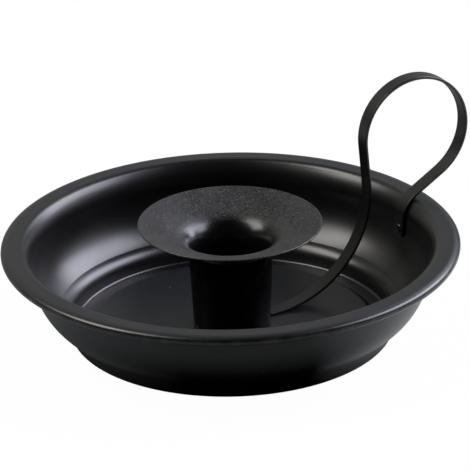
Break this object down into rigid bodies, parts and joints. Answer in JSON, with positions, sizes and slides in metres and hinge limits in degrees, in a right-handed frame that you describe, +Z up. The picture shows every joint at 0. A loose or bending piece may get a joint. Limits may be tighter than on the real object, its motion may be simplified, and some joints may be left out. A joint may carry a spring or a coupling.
{
  "type": "chamberstick",
  "caption": "Black sheet-steel chamberstick: round rimmed dish with a central candle socket under a funnel-shaped drip pan, and a flat strap handle bent into a tall finger loop.",
  "frame": {"origin": "on the dish axis, in the plane of the foot ring that the dish stands on", "axes": "+Z up along the dish and socket axis, +X from the socket towards the finger loop, +Y to the left of the handle"},
  "size_m": [0.1527, 0.14, 0.07],
  "materials": {
    "satin_black_paint": "satin black paint on sheet steel",
    "matte_black_paint": "grainy matte black paint on sheet steel"
  },
  "bodies": {
    "root": {"dish": "satin_black_paint", "candle_tube": "satin_black_paint", "drip_pan": "matte_black_paint", "handle_strap": "satin_black_paint", "wall_rivet": "satin_black_paint", "socket_rivet": "satin_black_paint"}
  },
  "joints": []
}
